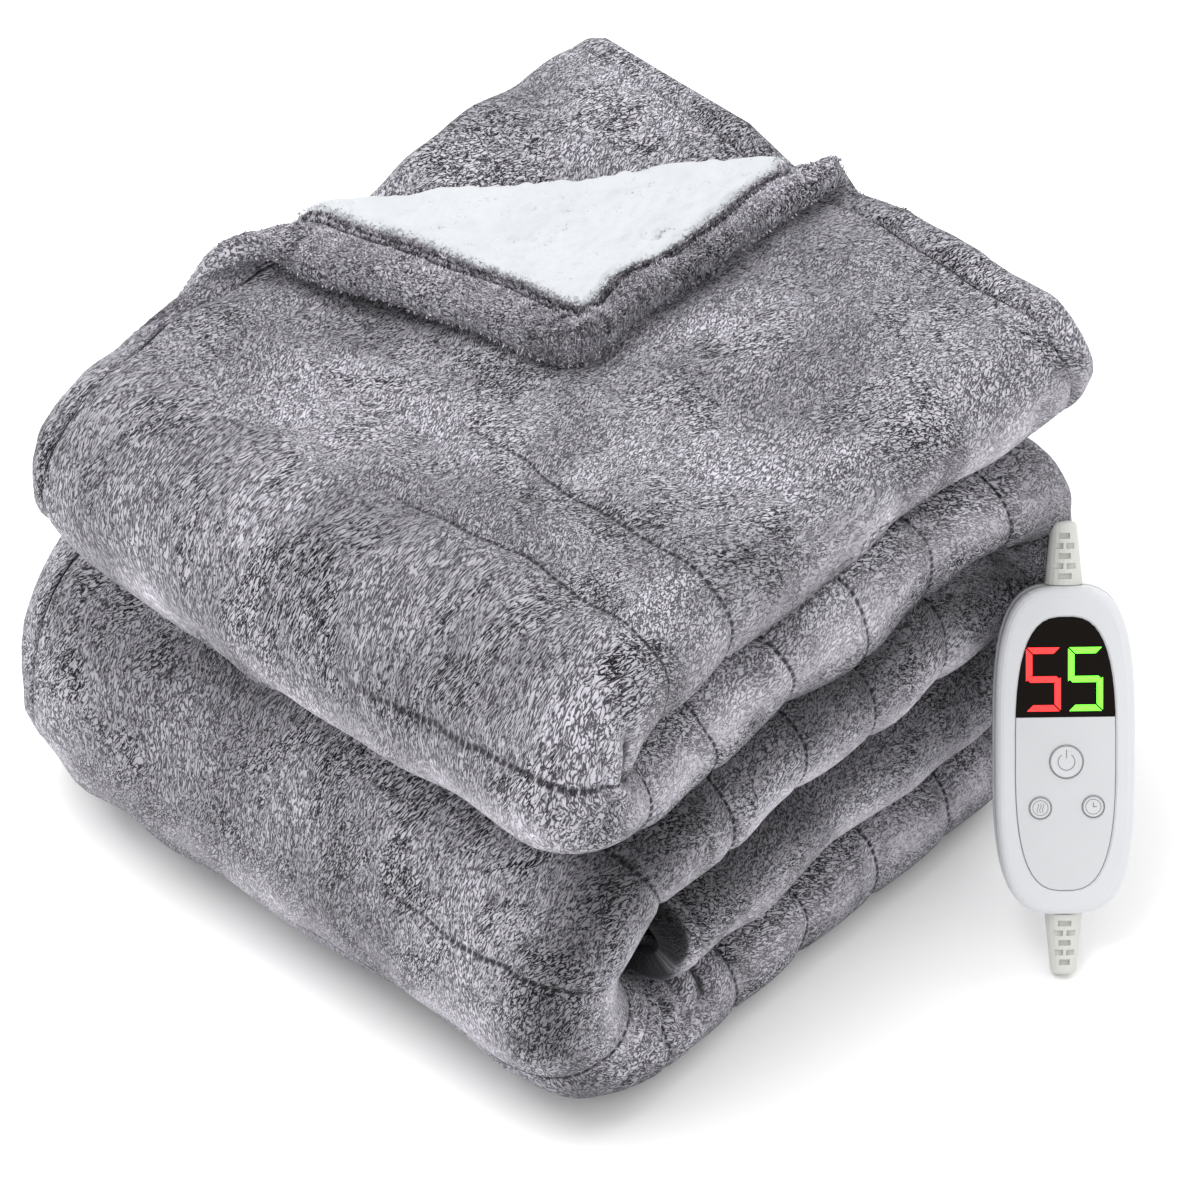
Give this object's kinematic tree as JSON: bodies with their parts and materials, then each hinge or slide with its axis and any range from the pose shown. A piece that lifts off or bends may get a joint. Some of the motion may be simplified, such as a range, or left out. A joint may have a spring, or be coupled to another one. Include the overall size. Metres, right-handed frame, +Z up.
{
  "type": "electric heated blanket",
  "caption": "Plush electric heated blanket folded into a stack, one corner turned back to its fleece face, with a push-button hand control leaning on it.",
  "frame": {"origin": "on the surface it lies on, under the middle of the whole box", "axes": "+Z up; +X the side where the folded rims show and the hand control leans; -Y the side where the long folds wrap round"},
  "size_m": [0.4758, 0.404, 0.3363],
  "materials": {
    "plush": "crushed plush pile, grey",
    "fleece": "curly fleece pile, white",
    "shell": "smooth moulded, pale grey",
    "panel": "satin, light grey",
    "window": "dark tinted, polished",
    "button": "satin, light grey",
    "sleeve": "soft moulded, off-white",
    "digit_red": "lit segments, red",
    "digit_green": "lit segments, green"
  },
  "bodies": {
    "root": {"blanket_cloth": "plush", "fleece_lining": "fleece", "handset_back": "shell", "handset_front": "shell", "handset_panel": "panel", "display_window": "window", "strain_relief_upper": "sleeve", "strain_relief_lower": "sleeve"},
    "power_key": {"button_power": "button"},
    "heat_key": {"button_heat": "button"},
    "timer_key": {"button_timer": "button"}
  },
  "joints": [
    {"name": "power_press", "type": "slide", "parent": "root", "child": "power_key", "axis": [-0.5654, 0.6063, -0.5592], "range_m": [0, 0.0006], "stiffness_N_per_m": 600},
    {"name": "heat_press", "type": "slide", "parent": "root", "child": "heat_key", "axis": [-0.5654, 0.6063, -0.5592], "range_m": [0, 0.0006], "stiffness_N_per_m": 600},
    {"name": "timer_press", "type": "slide", "parent": "root", "child": "timer_key", "axis": [-0.5654, 0.6063, -0.5592], "range_m": [0, 0.0006], "stiffness_N_per_m": 600}
  ]
}
